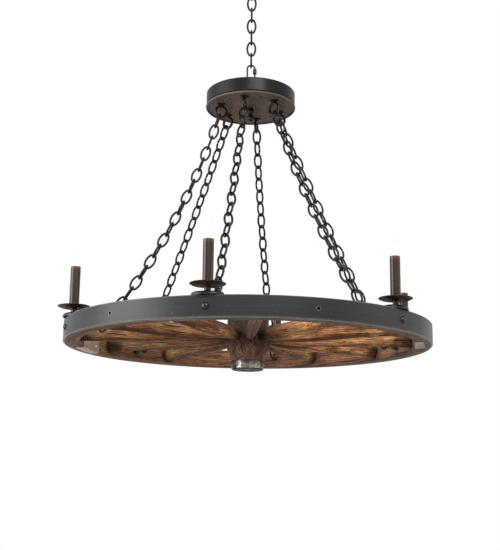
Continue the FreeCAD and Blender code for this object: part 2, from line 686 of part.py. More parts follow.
def make_eye_nuts():
    """A barrel nut with a flat-lying eye on its inner end, one on each through bolt."""
    barrel = cylinder(EYE_BARREL_R, EYE_BARREL_LENGTH)
    barrel = barrel.makeChamfer(EDGE_BREAK, [e for e in barrel.Edges if e.BoundBox.ZLength < 0.01])
    ring_at = -(EYE_NECK + EYE_WIRE / 2 + EYE_RING_R)
    neck_length = EYE_NECK + EYE_WIRE / 2
    neck = cylinder(EYE_NECK_R, neck_length, Vector(0, 0, -neck_length))
    eye = hoop(EYE_RING_R, EYE_WIRE, Vector(0, 0, ring_at), Vector(0, 1, 0))
    nut = union([barrel, neck, eye])
    bore_low = EYE_BARREL_LENGTH - EYE_BARREL_BORE
    nut = nut.cut(cylinder(BOLT_R + THREAD_GAP, EYE_BARREL_BORE, Vector(0, 0, bore_low)))
    return [framed(nut, tangent(a), Vector(0, 0, 1), radial(a), at(tight_barrel_r - off, a, wheel_z))
            for a, off in zip(AZIMUTHS, EYE_BACK_OFF)]


def rim_bolt_holes(radius, offset=0.0):
    length = 2 * (FELLOE_DEPTH + TYRE_THICKNESS)
    start = felloe_inner_r - FELLOE_DEPTH / 2
    return [cylinder(radius, length, at(start, a, wheel_z), radial(a))
            for a in [azimuth + offset for azimuth in AZIMUTHS]]


def make_tyre():
    half = RIM_HEIGHT / 2
    c = TYRE_EDGE
    inner = felloe_outer_r
    ring = revolved([(inner, -half), (TYRE_R - c, -half), (TYRE_R, -half + c), (TYRE_R, half - c),
                     (TYRE_R - c, half), (inner, half)])
    ring.translate(Vector(0, 0, wheel_z))
    return ring.cut(rim_bolt_holes(BOLT_R + HOLE_GAP) + rim_bolt_holes(NAIL_HOLE_R, HALF_STEP))


def make_spoke():
    """One spoke at azimuth 0 and wheel height 0: an upright oval all along, slimmer by the hub, with a
    flat tenon in the hub and a round one in the felloe."""
    start = HUB_R - SPOKE_SADDLE
    length = felloe_inner_r - CONTACT_GAP - start
    stations = [(0.0, SPOKE_HUB_HALF_WIDTH, SPOKE_HUB_HALF_HEIGHT),
                (SPOKE_FOOT, SPOKE_FOOT_HALF_WIDTH, SPOKE_FOOT_HALF_HEIGHT),
                (0.6, SPOKE_MID_R, SPOKE_MID_R + SPOKE_UPRIGHT_OVAL),
                (1.0, SPOKE_RIM_R, SPOKE_RIM_R + SPOKE_UPRIGHT_OVAL)]
    wires = []
    for share, half_width, half_height in stations:
        centre = Vector(0, -(start + share * length), 0)
        oval = Part.Ellipse(centre + Vector(0, 0, half_height), centre + Vector(half_width, 0, 0), centre)
        wires.append(Part.Wire([oval.toShape()]))
    body = Part.makeLoft(wires, True, False)
    body = body.cut(cylinder(HUB_R, 2 * HUB_HALF_LENGTH, Vector(0, 0, -HUB_HALF_LENGTH)))
    return body.fuse([hub_tenon(0), rim_tenon(0)])


def hub_tenon(gap):
    """The flat tenon at a spoke's foot, or its mortise when there is a gap round it."""
    w = HUB_TENON_HALF_WIDTH + gap
    h = HUB_TENON_HALF_HEIGHT + gap
    inner = HUB_TENON_INNER_R - gap
    return Part.makeBox(2 * w, HUB_R + SPOKE_SADDLE - inner, 2 * h, Vector(-w, -HUB_R - SPOKE_SADDLE, -h))


def rim_tenon(gap):
    start = felloe_inner_r - SPOKE_SADDLE
    length = SPOKE_SADDLE + SPOKE_TENON_DEPTH + gap
    return cylinder(SPOKE_TENON_R + gap, length, Vector(0, -start, 0), Vector(0, -1, 0))


def round_the_wheel(shape):
    return [turned(shape, SPOKE_TURN + 360.0 / SPOKE_COUNT * i, wheel_z) for i in range(SPOKE_COUNT)]


def make_felloe(side):
    """Half of the bent rim. Its ends meet the other half's midway between two spokes."""
    half = RIM_HEIGHT / 2
    c = FELLOE_EDGE
    gap = math.degrees(FELLOE_JOINT / 2 / felloe_outer_r)
    profile = [(felloe_inner_r, -half + c), (felloe_inner_r + c, -half), (felloe_outer_r, -half),
               (felloe_outer_r, half), (felloe_inner_r + c, half), (felloe_inner_r, half - c)]
    ring = revolved(profile, 180.0 - 2 * gap)
    joint = joint_azimuths()[side]
    ring = turned(ring, joint - 90.0 + gap, wheel_z)
    hole_low = rim_top - NIPPLE_IN_FELLOE
    nipples = [cylinder(NIPPLE_R + THREAD_GAP, NIPPLE_IN_FELLOE + CUT_PAST, at(candle_circle_r, a, hole_low))
               for a in AZIMUTHS]
    mortises = round_the_wheel(rim_tenon(THREAD_GAP))
    screws = clip_screw_shapes(CLIP_SCREW_R + THREAD_GAP, 0)
    return ring.cut(mortises + rim_bolt_holes(BOLT_R + HOLE_GAP) + nipples + screws)


def joint_azimuths():
    """Where the felloe halves meet: opposite places, each between two spokes and two candles."""
    first = WHEEL_TURN + HALF_STEP * 3
    return (first - 180.0, first)


def make_felloe_clips():
    """Channel-shaped straps that hold the felloe joints, closed towards the hub."""
    half = RIM_HEIGHT / 2
    t = CLIP_THICKNESS
    inner = felloe_inner_r - t
    outer = felloe_inner_r + CLIP_RETURN
    c = FELLOE_EDGE
    profile = [(inner, -half - t + c), (inner + c, -half - t), (outer, -half - t), (outer, -half),
               (felloe_inner_r + c, -half), (felloe_inner_r, -half + c), (felloe_inner_r, half - c),
               (felloe_inner_r + c, half), (outer, half), (outer, half + t), (inner + c, half + t),
               (inner, half + t - c)]
    strap = revolved(profile, CLIP_ARC)
    clips = [turned(strap, a - 90.0 - CLIP_ARC / 2, wheel_z) for a in joint_azimuths()]
    return [clip.cut(clip_screw_shapes(CLIP_SCREW_R + HOLE_GAP, 0)) for clip in clips]


def clip_screw_shapes(radius, head):
    """The clips' screws, or the holes for them when head is 0. A head's rim touches the hollow face
    of the clip, so its middle stands off."""
    depth = CLIP_SCREW_DEPTH + (0 if head else CUT_PAST)
    stand_off = SEAT_GAP if head else CUT_PAST
    start = CLIP_THICKNESS + stand_off
    profile = [(0, -start - head), (radius, -start), (radius, depth), (0, depth)]
    if head:
        r = CLIP_SCREW_HEAD_R
        profile = [(0, -start - head), (r * 0.7, -start - head * 0.75, "arc"), (r, -start),
                   (radius, -start), (radius, depth), (0, depth)]
    screw = revolved(profile)
    shapes = []
    for joint in joint_azimuths():
        for offset in (-CLIP_SCREW_ARC, CLIP_SCREW_ARC):
            for z in (-CLIP_SCREW_Z, CLIP_SCREW_Z):
                a = joint + offset
                shapes.append(framed(screw, tangent(a), Vector(0, 0, 1), radial(a),
                                     at(felloe_inner_r, a, wheel_z + z)))
    return shapes


band_shoulder = HUB_HALF_LENGTH - HUB_BAND_INSET - HUB_BAND_HEIGHT   # height of a band's inner edge


def make_hub():
    """Turned: full width at the spokes, below them a round shoulder and a hollow neck, above them a
    straight barrel, and a seat for a band at each end."""
    low_seat = HUB_BAND_R - HUB_BAND_THICKNESS
    back_seat = HUB_BACK_BAND_R - HUB_BAND_THICKNESS
    seat_z = band_shoulder
    end_z = HUB_HALF_LENGTH
    bore = HUB_BOLT_R + HOLE_GAP
    hub = revolved([(bore, -end_z), (low_seat, -end_z), (low_seat, -seat_z), (HUB_NECK_R, -seat_z),
                    bowed(HUB_NECK_R, -seat_z, HUB_TURN_R, -HUB_TURN_HEIGHT, -HUB_HOLLOW),
                    (HUB_TURN_R, -HUB_TURN_HEIGHT),
                    bowed(HUB_TURN_R, -HUB_TURN_HEIGHT, HUB_R, -HUB_SWELL, HUB_SHOULDER_BULGE),
                    (HUB_R, -HUB_SWELL), (HUB_R, HUB_SWELL),
                    bowed(HUB_R, HUB_SWELL, HUB_BACK_R, HUB_BACK_HEIGHT, HUB_BACK_BULGE),
                    (HUB_BACK_R, HUB_BACK_HEIGHT), (HUB_BACK_R, seat_z), (back_seat, seat_z),
                    (back_seat, end_z), (bore, end_z)])
    hub = hub.cut(cylinder(HUB_COUNTERBORE_R, HUB_COUNTERBORE, Vector(0, 0, -HUB_HALF_LENGTH)))
    hub.translate(Vector(0, 0, wheel_z))
    return hub.cut(round_the_wheel(hub_tenon(THREAD_GAP)))


def make_hub_bands():
    bands = []
    for outer, low in ((HUB_BACK_BAND_R, band_shoulder), (HUB_BAND_R, -band_shoulder - HUB_BAND_HEIGHT)):
        inner = outer - HUB_BAND_THICKNESS
        bevel = HUB_BAND_BEVEL
        band = revolved([(inner, 0), (outer - bevel, 0), (outer, bevel), (outer, HUB_BAND_HEIGHT - bevel),
                         (outer - bevel, HUB_BAND_HEIGHT), (inner, HUB_BAND_HEIGHT)])
        bands.append(turned(band, 0, wheel_z + low))
    return bands


def make_hub_bolt():
    low = wheel_z - HUB_HALF_LENGTH + HUB_COUNTERBORE
    head = hexagon(2 * HUB_HEAD_R, HUB_HEAD_HEIGHT, low - HUB_HEAD_HEIGHT)
    length = 2 * HUB_HALF_LENGTH - HUB_COUNTERBORE + HUB_HEAD_HEIGHT + BOLT_PAST_NUT
    shank = cylinder(HUB_BOLT_R, length, Vector(0, 0, low))
    return union([head, shank])


def make_hub_nut():
    z = wheel_z + HUB_HALF_LENGTH
    nut = hexagon(2 * HUB_HEAD_R, HUB_HEAD_HEIGHT, z)
    return nut.cut(cylinder(HUB_BOLT_R + THREAD_GAP, HUB_HEAD_HEIGHT, Vector(0, 0, z)))


# ---- candles -----------------------------------------------------------------------------------

def on_rim(shape):
    """Six copies of a candle part made round the Z axis at its own height."""
    return [turned_to(shape, a, candle_circle_r, 0) for a in AZIMUTHS]


def oval_block(inset, height):
    """An upright oval block on the rim, smaller than the candle's foot by an inset."""
    centre = Vector(0, 0, rim_top)
    long_end = centre + Vector(BASE_HALF_WIDTH - inset, 0, 0)
    short_end = centre + Vector(0, BASE_HALF_DEPTH - inset, 0)
    oval = Part.Ellipse(long_end, short_end, centre)
    return Part.Face(Part.Wire([oval.toShape()])).extrude(Vector(0, 0, height))


def make_base_plate():
    """A pressed oval foot across the rim: rounded on top, hollow below, with a bore for the nipple."""
    block = oval_block(0, BASE_HEIGHT)
    upper_edge = [e for e in block.Edges if e.BoundBox.ZMin > rim_top + BASE_HEIGHT / 2]
    foot = block.makeFillet(BASE_ROUNDING, upper_edge).cut(oval_block(BASE_WALL, BASE_HEIGHT - BASE_WALL))
    return foot.cut(cylinder(NIPPLE_R + HOLE_GAP, BASE_HEIGHT, Vector(0, 0, rim_top)))


def make_candle_nipple():
    low = rim_top - NIPPLE_IN_FELLOE
    length = socket_bottom + NIPPLE_IN_SOCKET - low
    foot = Vector(0, 0, low)
    return cylinder(NIPPLE_R, length, foot).cut(cylinder(NIPPLE_BORE_R, length, foot))


def make_stem_spacer():
    bore = NIPPLE_R + HOLE_GAP
    return revolved([(bore, base_top), (STEM_FOOT_R, base_top), (STEM_FOOT_R, base_top + STEM_FOOT_EDGE),
                     (STEM_R, base_top + STEM_FOOT_HEIGHT), (STEM_R, stem_top - STEM_COLLAR_HEIGHT),
                     (STEM_COLLAR_R, stem_top - STEM_COLLAR_EDGE), (STEM_COLLAR_R, stem_top),
                     (bore, stem_top)])


def make_bobeche():
    """A drip dish of thin sheet: flat floor, then a rising rim."""
    t = BOBECHE_SHEET
    bore = NIPPLE_R + HOLE_GAP
    bend_r = BOBECHE_FLOOR_R + (BOBECHE_R - BOBECHE_FLOOR_R) * 0.55
    bend_z = stem_top + BOBECHE_RISE * 0.3
    rim_z = stem_top + BOBECHE_RISE
    return revolved([(bore, stem_top), (BOBECHE_FLOOR_R, stem_top), (bend_r, bend_z, "arc"),
                     (BOBECHE_R, rim_z), (BOBECHE_R - t / 2, rim_z + t), (bend_r - t / 3, bend_z + t, "arc"),
                     (BOBECHE_FLOOR_R, bobeche_floor), (bore, bobeche_floor)])


def make_socket():
    """A moulded cup with the screw shell's bore at its mouth and a tapped hole for the nipple."""
    body = cylinder(SOCKET_R, SOCKET_LENGTH, Vector(0, 0, socket_bottom))
    body = body.makeChamfer(SOCKET_BEVEL, [e for e in body.Edges if e.BoundBox.ZLength < 0.01])
    mouth = cylinder(SOCKET_BORE_R, SOCKET_BORE_DEPTH, Vector(0, 0, socket_top - SOCKET_BORE_DEPTH))
    tap = cylinder(NIPPLE_R + THREAD_GAP, NIPPLE_IN_SOCKET, Vector(0, 0, socket_bottom))
    return body.cut([mouth, tap])


def make_sleeve():
    inner = SLEEVE_R - SLEEVE_WALL
    return revolved([(inner, sleeve_bottom), (SLEEVE_R, sleeve_bottom), (SLEEVE_R, sleeve_top),
                     (inner, sleeve_top)])


glass_bottom = bulb_seat + BULB_CONTACT + BULB_BASE_LENGTH
bulb_tip = sleeve_top + BULB_TIP_ABOVE


def make_bulb_base():
    z = bulb_seat
    top = glass_bottom
    c = BULB_BASE_BEVEL
    return revolved([(0, z), (BULB_CONTACT_R, z), (BULB_CONTACT_R, z + BULB_CONTACT - c),
                     (BULB_BASE_R - c, z + BULB_CONTACT), (BULB_BASE_R, z + BULB_CONTACT + c),
                     (BULB_BASE_R, top), (0, top)])


def make_bulb_glass():
    """A flame-shaped bulb: a short neck, a belly and a drawn-out tip."""
    height = bulb_tip - glass_bottom
    stations = [(0.0, BULB_NECK_R), (0.13, BULB_NECK_R * 1.05), (0.38, BULB_GLASS_R),
                (0.62, BULB_GLASS_R * 0.76), (0.82, BULB_GLASS_R * 0.38), (0.94, BULB_GLASS_R * 0.17),
                (1.0, 0.0)]
    curve = Part.BSplineCurve()
    curve.interpolate([Vector(r, 0, glass_bottom + share * height) for share, r in stations])
    axis = Part.LineSegment(Vector(0, 0, bulb_tip), Vector(0, 0, glass_bottom)).toShape()
    neck = Part.LineSegment(Vector(0, 0, glass_bottom), Vector(BULB_NECK_R, 0, glass_bottom)).toShape()
    face = Part.Face(Part.Wire([neck, curve.toShape(), axis]))
    return face.revolve(Vector(0, 0, 0), Vector(0, 0, 1), 360)


# ---- the nodes ---------------------------------------------------------------------------------

def main():
    os.makedirs("parts", exist_ok=True)
    save("crossbar", make_crossbar())
    save("hanger_nipple", make_hanger_nipple())
    save("canopy_loop", make_canopy_loop())
    save("collar_ring", make_collar_ring())
    save("canopy", make_canopy())
    suspension = make_suspension_links()
    save("top_link", suspension[0])
    save("suspension_links", suspension[1:])
    save("quick_link", make_quick_link())
    save("quick_link_nut", make_quick_link_nut())
    save("pan_loop", make_pan_loop())
    save("pan_shell", make_pan_shell())
    save("pan_plate", make_pan_plate())
    save("stiffening_ring", make_stiffening_ring())
    save("plate_screws", make_plate_screws())
    save("centre_rod", make_centre_rod())
    save("rod_nut", make_rod_nut())
    save("finial", make_finial())
    save("ring_bolts", make_ring_bolts())
    save("ring_nuts", make_ring_nuts())
    for i in range(CHAIN_COUNT):
        save("chain_" + str(i + 1), make_chain(i))
    save("tyre", make_tyre())
    save("felloe_left", make_felloe(0))
    save("felloe_right", make_felloe(1))
    save("felloe_clips", make_felloe_clips())
    save("clip_screws", clip_screw_shapes(CLIP_SCREW_R, CLIP_SCREW_HEAD))
    save("spokes", round_the_wheel(make_spoke()))
    save("hub", make_hub())
    save("hub_bands", make_hub_bands())
    save("hub_bolt", make_hub_bolt())
    save("hub_nut", make_hub_nut())
    save("through_bolts", make_through_bolts())
    save("eye_nuts", make_eye_nuts())
    save("base_plates", on_rim(make_base_plate()))
    save("candle_nipples", on_rim(make_candle_nipple()))
    save("stem_spacers", on_rim(make_stem_spacer()))
    save("bobeches", on_rim(make_bobeche()))
    save("sockets", on_rim(make_socket()))
    sleeves = on_rim(make_sleeve())
    glasses = on_rim(make_bulb_glass())
    bases = on_rim(make_bulb_base())
    for i in range(CHAIN_COUNT):
        save("sleeve_" + str(i + 1), sleeves[i])
        save("bulb_glass_" + str(i + 1), glasses[i])
        save("bulb_base_" + str(i + 1), bases[i])


main()
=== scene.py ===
import math

import bmesh
import bpy
from mathutils import Matrix, Vector


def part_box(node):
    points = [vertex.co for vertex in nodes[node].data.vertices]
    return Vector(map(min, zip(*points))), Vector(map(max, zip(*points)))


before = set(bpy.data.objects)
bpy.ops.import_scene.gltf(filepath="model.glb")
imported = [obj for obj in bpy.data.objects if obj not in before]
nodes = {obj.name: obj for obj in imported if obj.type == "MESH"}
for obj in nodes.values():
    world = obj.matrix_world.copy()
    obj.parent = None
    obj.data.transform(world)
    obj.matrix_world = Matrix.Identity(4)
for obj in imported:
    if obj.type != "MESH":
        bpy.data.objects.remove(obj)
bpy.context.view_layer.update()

# ---- places taken from the frame, in metres ----------------------------------------------------

tyre_low, tyre_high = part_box("tyre")
wheel_centre = (tyre_low + tyre_high) / 2
pan_bottom_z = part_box("pan_shell")[0].z
sleeve_top_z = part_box("sleeve_1")[1].z
bulb_low, bulb_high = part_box("bulb_glass_1")

# ---- how the lamp is laid out ------------------------------------------------------------------

# Azimuths run from the front towards the right.
WHEEL_TURN = math.radians(-11.2)    # the first candle and its chain
SPOKE_COUNT = 12
SPOKE_STEP = 2 * math.pi / SPOKE_COUNT
FIRST_SPOKE = WHEEL_TURN + SPOKE_STEP / 2
FELLOE_JOINT = WHEEL_TURN - math.radians(90)

# Spans of radius from the wheel's middle, and of height from its middle plane.
SPOKE_LEAVES_HUB = (0.095, 0.13)
SPOKE_MEETS_RIM = (0.415, 0.462)
SPOKE_ONE_SHADE_FADE = (0.13, 0.3)       # the painted shadow and dirt on spoke 1 by the hub fade out over this span
RIM_GRAIN_RADIUS = 0.48             # turns an angle round the rim into a length along its grain
HUB_SPOKE_ZONE = (0.02, 0.05)
HUB_BAND_SEAT = (0.086, 0.089)
BAND_FACE_END = (0.067, 0.078)

LIP_GROOVE_Z = pan_bottom_z + 0.0066
GROOVE_SHADE_HALF = (0.001, 0.0024)         # half of the width of the painted groove shade, with its soft edge
LIP_TOP = (0.0026, 0.0012)          # below the groove
THREAD_PITCH = 0.0026               # of the bulbs' screw caps

# From one spoke to the next the grain is read this much further on, so that no two are alike.
NEXT_SPOKE_ALONG = 1.7
NEXT_SPOKE_UP = 0.9

# ---- levels of light ---------------------------------------------------------------------------

AMBIENT = 0.12                      # what the white room adds on every side
BULB_STRENGTH = 16.0
BULB_HEART = (1.02, 1.0, 0.98)      # as the eye sees it
BULB_OUTLINE = (0.95, 0.66, 0.42)
BULB_CAST = (1.0, 0.74, 0.46, 1.0)  # the light that it throws on the lamp
GLOW_DEPTH = 0.018                  # how far the painted glow of the bulb reaches down its sleeve
GLOW_COLOUR = (1.0, 0.42, 0.16, 1.0)
GLOW_STRENGTH = 0.11
UNLIT = (0.0, 0.0, 0.0, 1.0)
PLAIN_GLOSS = 0.5                   # the shader's own specular level


def shade(red, green, blue):
    """A colour as a paint chart gives it, 0 to 255, in the light values that shaders take."""
    light = []
    for part in (red / 255, green / 255, blue / 255):
        light.append(part / 12.92 if part <= 0.04045 else ((part + 0.055) / 1.055) ** 2.4)
    return (*light, 1.0)


# ---- wiring shader nodes -----------------------------------------------------------------------

def plug(tree, value, socket):
    """Links an output to a socket, or writes a plain value into it."""
    if isinstance(value, bpy.types.NodeSocket):
        tree.links.new(value, socket)
    else:
        socket.default_value = value


def cleared(owner):
    """The empty node tree of a material or a world."""
    owner.use_nodes = True
    owner.node_tree.nodes.clear()
    return owner.node_tree


def maths(tree, operation, a, b=0.0, c=0.0, clamp=False):
    node = tree.nodes.new("ShaderNodeMath")
    node.operation = operation
    node.use_clamp = clamp
    for value, socket in zip((a, b, c), node.inputs):
        plug(tree, value, socket)
    return node.outputs[0]


def plus(tree, a, b):
    return maths(tree, "ADD", a, b)


def minus(tree, a, b, clamp=False):
    return maths(tree, "SUBTRACT", a, b, clamp=clamp)


def times(tree, a, b):
    return maths(tree, "MULTIPLY", a, b)


def times_plus(tree, a, factor, more, clamp=False):
    return maths(tree, "MULTIPLY_ADD", a, factor, more, clamp)


def away_from(tree, value, middle):
    return maths(tree, "ABSOLUTE", minus(tree, value, middle))


def between(tree, value, low, high, to_low=0.0, to_high=1.0):
    """Maps the span from low to high onto another, smoothly and without overshoot."""
    node = tree.nodes.new("ShaderNodeMapRange")
    node.interpolation_type = "SMOOTHSTEP"
    for item, socket in zip((value, low, high, to_low, to_high), node.inputs):
        plug(tree, item, socket)
    return node.outputs[0]


def fading(tree, value, low, high):
    """1 up to low, and 0 from high on."""
    return between(tree, value, low, high, 1.0, 0.0)


def tint(tree, share, first, second):
    node = tree.nodes.new("ShaderNodeMix")
    node.data_type = "RGBA"
    plug(tree, share, node.inputs[0])
    plug(tree, first, node.inputs[6])
    plug(tree, second, node.inputs[7])
    return node.outputs[2]


def toned(tree, value, low, high, dark, pale):
    return tint(tree, between(tree, value, low, high), dark, pale)


def layered(tree, colour, *layers):
    """Lays masks over a colour one after another, each with its own share and shade."""
    for mask, share, over in layers:
        colour = tint(tree, times(tree, mask, share), colour, over)
    return colour


def axes(tree, vector):
    node = tree.nodes.new("ShaderNodeSeparateXYZ")
    plug(tree, vector, node.inputs[0])
    return node.outputs


def joined(tree, x, y, z):
    node = tree.nodes.new("ShaderNodeCombineXYZ")
    for value, socket in zip((x, y, z), node.inputs):
        plug(tree, value, socket)
    return node.outputs[0]


def stretched(tree, place, scale):
    node = tree.nodes.new("ShaderNodeMapping")
    plug(tree, place, node.inputs["Vector"])
    plug(tree, scale, node.inputs["Scale"])
    return node.outputs["Vector"]


def offset(tree, place, by):
    node = tree.nodes.new("ShaderNodeVectorMath")
    plug(tree, place, node.inputs[0])
    plug(tree, by, node.inputs[1])
    return node.outputs[0]


def length(tree, vector):
    node = tree.nodes.new("ShaderNodeVectorMath")
    node.operation = "LENGTH"
    plug(tree, vector, node.inputs[0])
    return node.outputs["Value"]


def from_axis(tree, place):
    """How far a place is from the lamp's upright axis."""
    return length(tree, stretched(tree, place, (1.0, 1.0, 0.0)))


def cloud(tree, place, scale=1.0, detail=3.0, roughness=0.5, distortion=0.0):
    node = tree.nodes.new("ShaderNodeTexNoise")
    plug(tree, place, node.inputs["Vector"])
    plug(tree, scale, node.inputs["Scale"])
    plug(tree, detail, node.inputs["Detail"])
    plug(tree, roughness, node.inputs["Roughness"])
    plug(tree, distortion, node.inputs["Distortion"])
    return node.outputs["Fac"]


def group(name, inputs, outputs):
    """A node group with float sockets, or vector ones where the label starts with a V and a dot."""
    tree = bpy.data.node_groups.new(name, "ShaderNodeTree")
    for side, labels in (("INPUT", inputs), ("OUTPUT", outputs)):
        for label in labels:
            kind = "NodeSocketVector" if label.startswith("V.") else "NodeSocketFloat"
            tree.interface.new_socket(label.replace("V.", ""), in_out=side, socket_type=kind)
    given = tree.nodes.new("NodeGroupInput").outputs
    return tree, given, tree.nodes.new("NodeGroupOutput").inputs


def placed(tree, made, **values):
    """A group in a material, with its inputs given by name."""
    node = tree.nodes.new("ShaderNodeGroup")
    node.node_tree = made
    for label, value in values.items():
        plug(tree, value, node.inputs[label.replace("_", " ")])
    return node.outputs


# ---- shared effects ----------------------------------------------------------------------------

def make_wheel_places():
    """Turns a place on the wheel into places along the grain: round the rim, and along each spoke.
    It also counts the spokes, from 0."""
    tree, given, result = group("wheel places", ["V.Place"],
                                ["V.Rim grain", "V.Spoke grain", "Spoke"])
    x, y, z = axes(tree, given["Place"])
    radius = maths(tree, "SQRT", plus(tree, times(tree, x, x), times(tree, y, y)))
    azimuth = maths(tree, "ARCTAN2", x, times(tree, y, -1.0))
    from_joint = maths(tree, "WRAP", azimuth, FELLOE_JOINT + 2 * math.pi, FELLOE_JOINT)
    around = times(tree, from_joint, RIM_GRAIN_RADIUS)
    plug(tree, joined(tree, around, radius, z), result["Rim grain"])

    turns = maths(tree, "DIVIDE", minus(tree, azimuth, FIRST_SPOKE), SPOKE_STEP)
    nearest = maths(tree, "FLOOR", plus(tree, turns, 0.5))
    aside = times(tree, minus(tree, turns, nearest), SPOKE_STEP)
    number = maths(tree, "WRAP", nearest, float(SPOKE_COUNT), 0.0)
    along = times(tree, radius, maths(tree, "COSINE", aside))
    across = times(tree, radius, maths(tree, "SINE", aside))
    along = plus(tree, along, times(tree, number, NEXT_SPOKE_ALONG))
    up = plus(tree, z, times(tree, number, NEXT_SPOKE_UP))
    plug(tree, joined(tree, along, across, up), result["Spoke grain"])
    plug(tree, number, result["Spoke"])
    return tree


def along_grain(tree, place, along, across):
    """A place in wood, scaled along its grain and across it."""
    return stretched(tree, place, (along, across, across))


def make_wood_grain():
    """Weathered wood whose grain runs along the first axis of the place it is given. Its growth
    rings lie round a heart line that stands off by Heart."""
    tree, given, result = group("wood grain",
                                ["V.Grain", "V.Heart", "Ring width", "Waviness", "Cracking"],
                                ["Tone", "Fibres", "Rings", "Pores", "Cracks", "Knots", "Height"])
    sway = cloud(tree, along_grain(tree, given["Grain"], 7.0, 20.0), detail=2.0)
    bend = times(tree, minus(tree, sway, 0.5), given["Waviness"])
    place = offset(tree, given["Grain"], joined(tree, 0.0, bend, bend))

    from_heart = length(tree, along_grain(tree, offset(tree, place, given["Heart"]), 0.0, 1.0))
    ripple = cloud(tree, along_grain(tree, place, 14.0, 60.0), roughness=0.6)
    radius = times_plus(tree, ripple, times(tree, given["Ring width"], 2.4), from_heart)
    year = maths(tree, "FRACT", maths(tree, "DIVIDE", radius, given["Ring width"]))
    late = times(tree, between(tree, year, 0.3, 0.85), fading(tree, year, 0.88, 1.0))

    tone = cloud(tree, along_grain(tree, place, 3.5, 45.0), detail=4.0, roughness=0.6)
    fibres = cloud(tree, along_grain(tree, place, 13.0, 300.0), detail=5.0, roughness=0.7)
    pores = between(tree, cloud(tree, along_grain(tree, place, 34.0, 420.0), detail=2.0),
                    0.58, 0.64)
    split = cloud(tree, along_grain(tree, place, 6.0, 150.0), detail=5.0, roughness=0.6)
    crack_edge = times_plus(tree, given["Cracking"], 0.16, 0.32)
    cracks = fading(tree, split, minus(tree, crack_edge, 0.05), crack_edge)
    cell = tree.nodes.new("ShaderNodeTexVoronoi")
    plug(tree, along_grain(tree, place, 9.0, 17.0), cell.inputs["Vector"])
    knots = fading(tree, cell.outputs["Distance"], 0.06, 0.2)
    for label, value in (("Tone", tone), ("Fibres", fibres), ("Rings", late), ("Pores", pores),
                         ("Cracks", cracks), ("Knots", knots)):
        plug(tree, value, result[label])

    relief = times_plus(tree, fibres, 0.4, times(tree, late, 0.3))
    for hollow, depth in ((cracks, 0.8), (pores, 0.25), (knots, 0.3)):
        relief = minus(tree, relief, times(tree, hollow, depth))
    plug(tree, relief, result["Height"])
    return tree


def make_edge_wear():
    """A mask for the rubbed edges of a piece, broken up by a fine cloud."""
    tree, given, result = group("edge wear", ["V.Place", "Width", "Breakup"], ["Wear"])
    rounded = tree.nodes.new("ShaderNodeBevel")
    rounded.samples = 4
    plug(tree, given["Width"], rounded.inputs["Radius"])
    flat = tree.nodes.new("ShaderNodeNewGeometry")
    facing = tree.nodes.new("ShaderNodeVectorMath")
    facing.operation = "DOT_PRODUCT"
    plug(tree, rounded.outputs[0], facing.inputs[0])
    plug(tree, flat.outputs["Normal"], facing.inputs[1])
    turned = minus(tree, 1.0, facing.outputs["Value"])
    patches = cloud(tree, given["Place"], scale=70.0, detail=5.0, roughness=0.65)
    limit = times_plus(tree, given["Breakup"], minus(tree, 1.0, patches), 0.01)
    plug(tree, between(tree, turned, limit, plus(tree, limit, 0.09)), result["Wear"])
    return tree


def make_hollow_shade():
    """A mask of painted shade, with some dirt, in the hollows where pieces meet."""
    tree, given, result = group("crevices", ["V.Place", "Reach"], ["Depth"])
    shelter = tree.nodes.new("ShaderNodeAmbientOcclusion")
    shelter.samples = 5
    plug(tree, given["Reach"], shelter.inputs["Distance"])
    patches = cloud(tree, given["Place"], scale=55.0, detail=4.0, roughness=0.6)
    open_share = times_plus(tree, patches, 0.3, shelter.outputs["AO"])
    plug(tree, fading(tree, open_share, 0.45, 1.0), result["Depth"])
    return tree


def make_grime():
    """Slow stains, fine specks and the grain of a finish, with one size for all of them."""
    tree, given, result = group("grime", ["V.Place", "Size"], ["Stains", "Specks", "Skin"])
    near = tree.nodes.new("ShaderNodeVectorMath")
    near.operation = "SCALE"
    plug(tree, given["Place"], near.inputs[0])
    plug(tree, maths(tree, "DIVIDE", 1.0, given["Size"]), near.inputs["Scale"])
    place = near.outputs[0]
    stains = cloud(tree, place, scale=1.0, detail=5.0, roughness=0.6, distortion=0.4)
    specks = cloud(tree, place, scale=14.0, roughness=0.7)
    plug(tree, between(tree, stains, 0.35, 0.7), result["Stains"])
    plug(tree, between(tree, specks, 0.62, 0.74), result["Specks"])
    plug(tree, cloud(tree, place, scale=30.0, roughness=0.6), result["Skin"])
    return tree


# Each set of scratches has its own turn and its own stretch of the cloud.
SCRATCH_SETS = ((0.5, (1.0, 30.0, 30.0)), (-0.9, (1.2, 34.0, 28.0)), (2.2, (0.9, 26.0, 36.0)))


def make_scratches():
    """Thin lines that cross at odd angles, as tools and handling leave them."""
    tree, given, result = group("scratches", ["V.Place", "Scale"], ["Lines"])
    lines = None
    for turn, stretch in SCRATCH_SETS:
        node = tree.nodes.new("ShaderNodeMapping")
        plug(tree, given["Place"], node.inputs["Vector"])
        node.inputs["Rotation"].default_value = (turn * 0.7, turn * 0.4, turn)
        node.inputs["Scale"].default_value = stretch
        streak = cloud(tree, node.outputs[0], given["Scale"], detail=2.0, roughness=0.4)
        streak = between(tree, streak, 0.69, 0.73)
        lines = streak if lines is None else maths(tree, "MAXIMUM", lines, streak)
    plug(tree, lines, result["Lines"])
    return tree


WHEEL_PLACES = make_wheel_places()
WOOD_GRAIN = make_wood_grain()
EDGE_WEAR = make_edge_wear()
HOLLOW_SHADE_TREE = make_hollow_shade()
GRIME = make_grime()
SCRATCHES = make_scratches()


def grime_on(tree, place, size):
    return placed(tree, GRIME, Place=place, Size=size)


def rubbed_edges(tree, place, width, breakup):
    return placed(tree, EDGE_WEAR, Place=place, Width=width, Breakup=breakup)["Wear"]


# Painted shade, with some dirt, in the hollows where pieces meet.
def painted_hollow_shade(tree, place, reach):
    return placed(tree, HOLLOW_SHADE_TREE, Place=place, Reach=reach)["Depth"]


